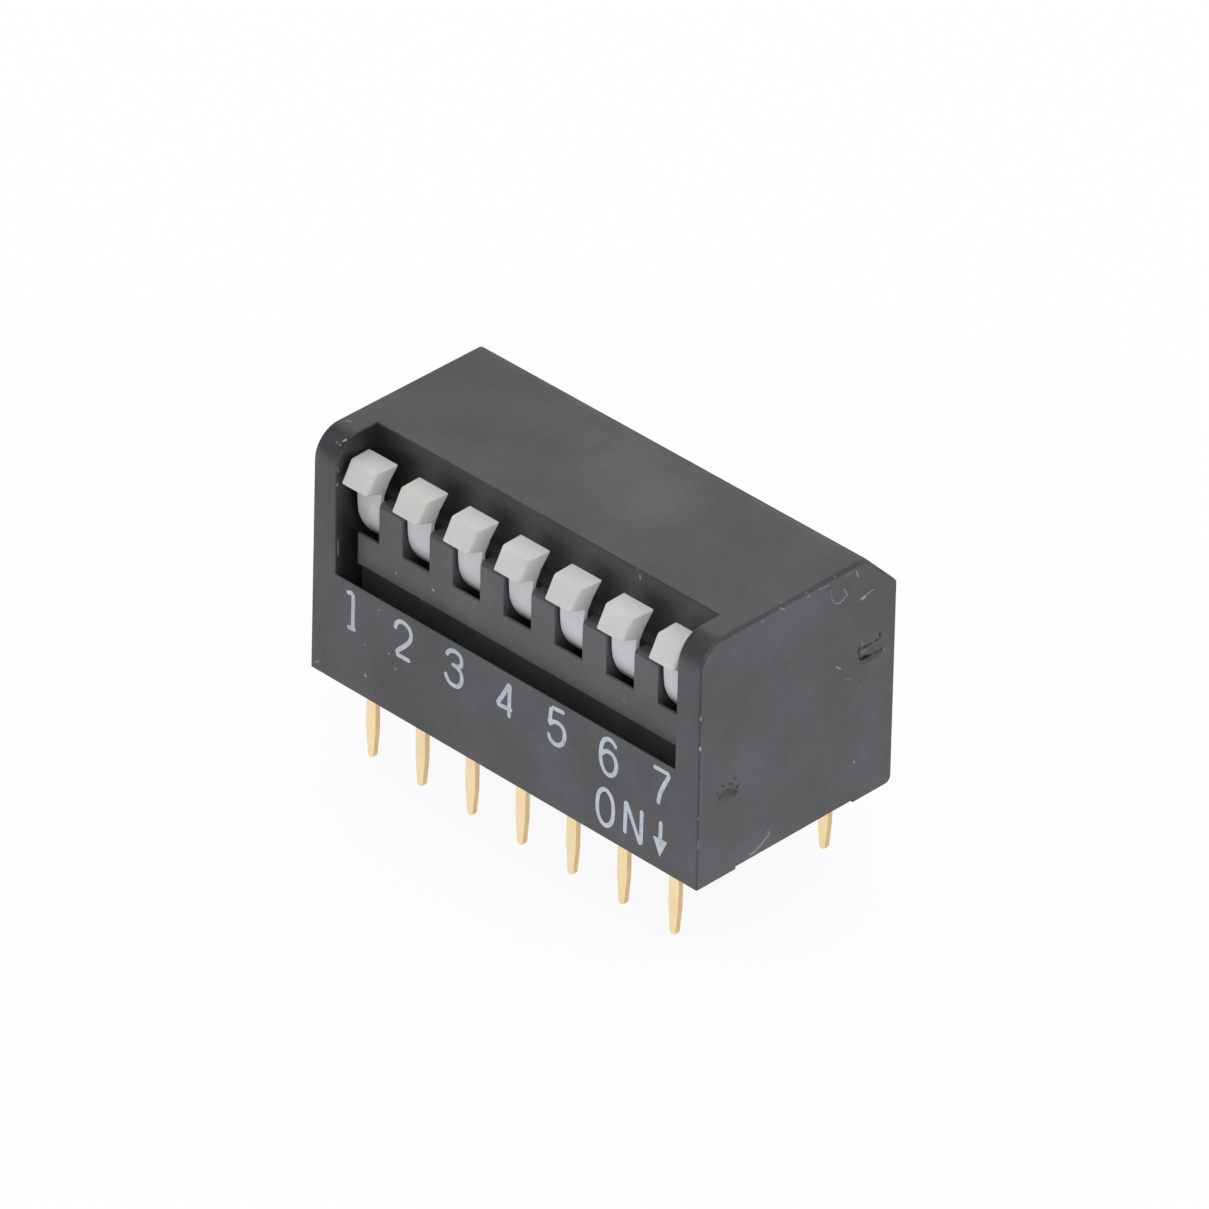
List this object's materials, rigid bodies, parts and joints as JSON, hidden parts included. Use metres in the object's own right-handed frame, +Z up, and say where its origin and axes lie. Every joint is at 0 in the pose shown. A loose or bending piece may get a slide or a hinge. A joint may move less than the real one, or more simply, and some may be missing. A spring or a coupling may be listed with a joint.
{
  "type": "piano-key dip switch",
  "caption": "Row of white piano-key levers in a black case with a window along its front top edge and two rows of gold-plated pins below.",
  "frame": {"origin": "centre of the bounding box in plan, at the tips of the pins; the middle of the pin grid", "axes": "+X along the row from lever 1 to the last lever, the levers face -Y, +Z up out of the board"},
  "size_m": [0.0194, 0.0098, 0.0135],
  "materials": {
    "case_plastic": "moulded thermoplastic, fine satin",
    "base_plastic": "moulded thermoplastic, fine satin",
    "lever_plastic": "moulded off-white thermoplastic, satin",
    "pin_plating": "gold-plated copper alloy",
    "wiper_metal": "gold-plated spring sheet"
  },
  "bodies": {
    "housing": {"case": "case_plastic", "base": "base_plastic", "front_terminal_1": "pin_plating", "front_terminal_2": "pin_plating", "front_terminal_3": "pin_plating", "front_terminal_4": "pin_plating", "front_terminal_5": "pin_plating", "front_terminal_6": "pin_plating", "front_terminal_7": "pin_plating", "rear_terminal_1": "pin_plating", "rear_terminal_2": "pin_plating", "rear_terminal_3": "pin_plating", "rear_terminal_4": "pin_plating", "rear_terminal_5": "pin_plating", "rear_terminal_6": "pin_plating", "rear_terminal_7": "pin_plating"},
    "key_1": {"lever_1": "lever_plastic", "wiper_1": "wiper_metal"},
    "key_2": {"lever_2": "lever_plastic", "wiper_2": "wiper_metal"},
    "key_3": {"lever_3": "lever_plastic", "wiper_3": "wiper_metal"},
    "key_4": {"lever_4": "lever_plastic", "wiper_4": "wiper_metal"},
    "key_5": {"lever_5": "lever_plastic", "wiper_5": "wiper_metal"},
    "key_6": {"lever_6": "lever_plastic", "wiper_6": "wiper_metal"},
    "key_7": {"lever_7": "lever_plastic", "wiper_7": "wiper_metal"}
  },
  "joints": [
    {"name": "key_1_press", "type": "hinge", "parent": "housing", "child": "key_1", "pos_m": [-0.00762, -0.00175, 0.01035], "axis": [1, 0, 0], "range_deg": [0, 28]},
    {"name": "key_2_press", "type": "hinge", "parent": "housing", "child": "key_2", "pos_m": [-0.00508, -0.00175, 0.01035], "axis": [1, 0, 0], "range_deg": [0, 28]},
    {"name": "key_3_press", "type": "hinge", "parent": "housing", "child": "key_3", "pos_m": [-0.00254, -0.00175, 0.01035], "axis": [1, 0, 0], "range_deg": [0, 28]},
    {"name": "key_4_press", "type": "hinge", "parent": "housing", "child": "key_4", "pos_m": [0, -0.00175, 0.01035], "axis": [1, 0, 0], "range_deg": [0, 28]},
    {"name": "key_5_press", "type": "hinge", "parent": "housing", "child": "key_5", "pos_m": [0.00254, -0.00175, 0.01035], "axis": [1, 0, 0], "range_deg": [0, 28]},
    {"name": "key_6_press", "type": "hinge", "parent": "housing", "child": "key_6", "pos_m": [0.00508, -0.00175, 0.01035], "axis": [1, 0, 0], "range_deg": [0, 28]},
    {"name": "key_7_press", "type": "hinge", "parent": "housing", "child": "key_7", "pos_m": [0.00762, -0.00175, 0.01035], "axis": [1, 0, 0], "range_deg": [0, 28]}
  ]
}
